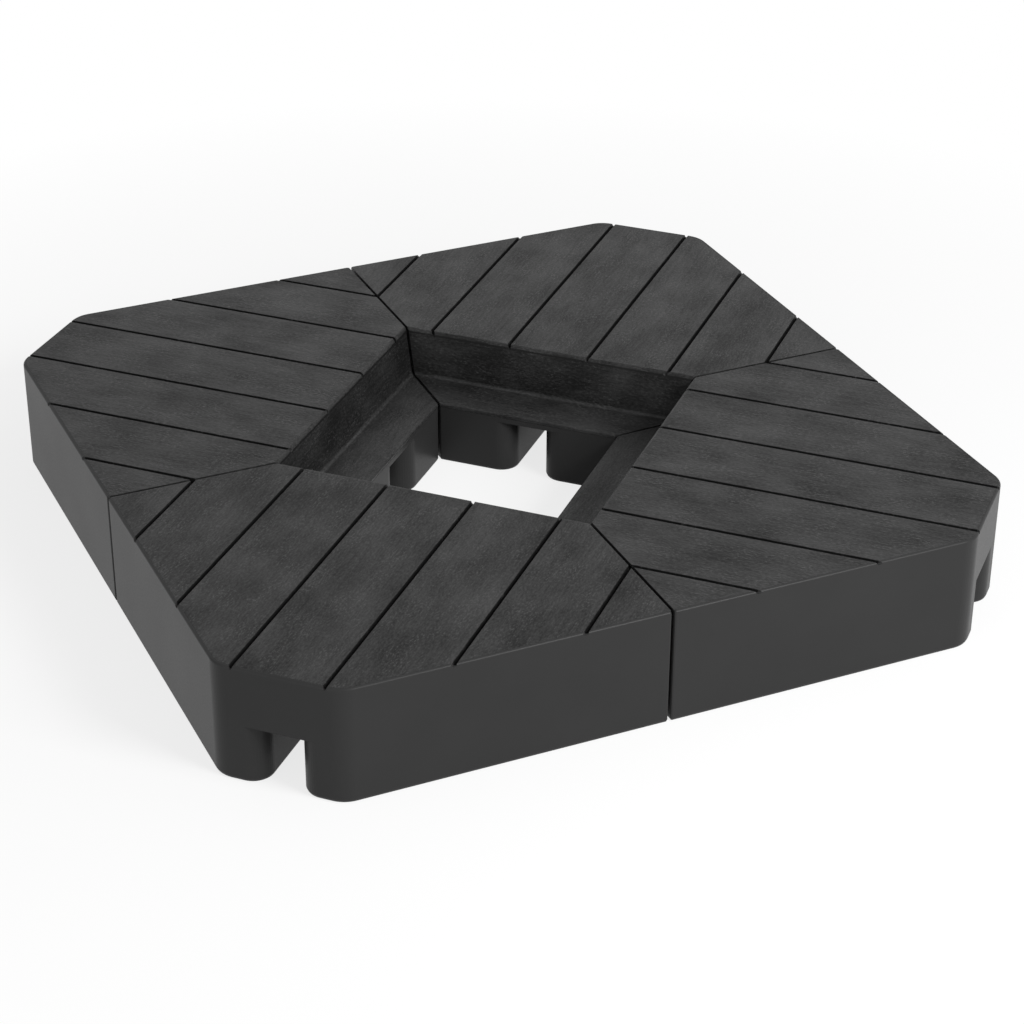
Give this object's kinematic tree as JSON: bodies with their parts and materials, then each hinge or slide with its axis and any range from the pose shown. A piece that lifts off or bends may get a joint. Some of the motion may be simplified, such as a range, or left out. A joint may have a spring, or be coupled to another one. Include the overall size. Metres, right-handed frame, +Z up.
{
  "type": "parasol base",
  "caption": "Square parasol base of fillable corner weights with grooved board tops, closing round a cross foot; weights lift off and fill plugs unscrew.",
  "frame": {"origin": "on the ground, at the middle of the square opening", "axes": "+Z up; X and Y along the arm channels, so the four weights lie towards -Y (front), +X (right), +Y (back) and -X (left), and the outer sides of the square lie at 45 degrees to X and Y"},
  "size_m": [1.2644, 1.2644, 0.148],
  "materials": {
    "tank": "satin",
    "deck": "matte",
    "fill_cap": "satin",
    "cap_seal": "matte",
    "ballast": "gloss"
  },
  "bodies": {
    "weight_front": {"tank_front": "tank", "deck_front": "deck", "ballast_front": "ballast"},
    "weight_right": {"tank_right": "tank", "deck_right": "deck", "ballast_right": "ballast"},
    "weight_back": {"tank_back": "tank", "deck_back": "deck", "ballast_back": "ballast"},
    "weight_left": {"tank_left": "tank", "deck_left": "deck", "ballast_left": "ballast"},
    "seal_front": {"cap_seal_front": "cap_seal"},
    "seal_right": {"cap_seal_right": "cap_seal"},
    "seal_back": {"cap_seal_back": "cap_seal"},
    "seal_left": {"cap_seal_left": "cap_seal"},
    "plug_front": {"fill_cap_front": "fill_cap"},
    "plug_right": {"fill_cap_right": "fill_cap"},
    "plug_back": {"fill_cap_back": "fill_cap"},
    "plug_left": {"fill_cap_left": "fill_cap"}
  },
  "joints": [
    {"name": "lift_right", "type": "slide", "parent": "weight_front", "child": "weight_right", "axis": [0, 0, 1], "range_m": [0, 0.3]},
    {"name": "lift_back", "type": "slide", "parent": "weight_front", "child": "weight_back", "axis": [0, 0, 1], "range_m": [0, 0.3]},
    {"name": "lift_left", "type": "slide", "parent": "weight_front", "child": "weight_left", "axis": [0, 0, 1], "range_m": [0, 0.3]},
    {"name": "plug_out_front", "type": "slide", "parent": "weight_front", "child": "seal_front", "axis": [0.7071, 0.7071, 0], "range_m": [0, 0.012]},
    {"name": "plug_out_right", "type": "slide", "parent": "weight_right", "child": "seal_right", "axis": [-0.7071, 0.7071, 0], "range_m": [0, 0.012]},
    {"name": "plug_out_back", "type": "slide", "parent": "weight_back", "child": "seal_back", "axis": [-0.7071, -0.7071, 0], "range_m": [0, 0.012]},
    {"name": "plug_out_left", "type": "slide", "parent": "weight_left", "child": "seal_left", "axis": [0.7071, -0.7071, 0], "range_m": [0, 0.012]},
    {"name": "plug_turn_front", "type": "hinge", "parent": "seal_front", "child": "plug_front", "pos_m": [0.25628, -0.29977, 0.0967], "axis": [0.7071, 0.7071, 0], "range_deg": [0, 720]},
    {"name": "plug_turn_right", "type": "hinge", "parent": "seal_right", "child": "plug_right", "pos_m": [0.29977, 0.25628, 0.0967], "axis": [-0.7071, 0.7071, 0], "range_deg": [0, 720]},
    {"name": "plug_turn_back", "type": "hinge", "parent": "seal_back", "child": "plug_back", "pos_m": [-0.25628, 0.29977, 0.0967], "axis": [-0.7071, -0.7071, 0], "range_deg": [0, 720]},
    {"name": "plug_turn_left", "type": "hinge", "parent": "seal_left", "child": "plug_left", "pos_m": [-0.29977, -0.25628, 0.0967], "axis": [0.7071, -0.7071, 0], "range_deg": [0, 720]}
  ],
  "couplings": [
    {"joint": "plug_out_front", "follows": "plug_turn_front", "m_per_rad": 0.00095492},
    {"joint": "plug_out_right", "follows": "plug_turn_right", "m_per_rad": 0.00095492},
    {"joint": "plug_out_back", "follows": "plug_turn_back", "m_per_rad": 0.00095492},
    {"joint": "plug_out_left", "follows": "plug_turn_left", "m_per_rad": 0.00095492}
  ]
}
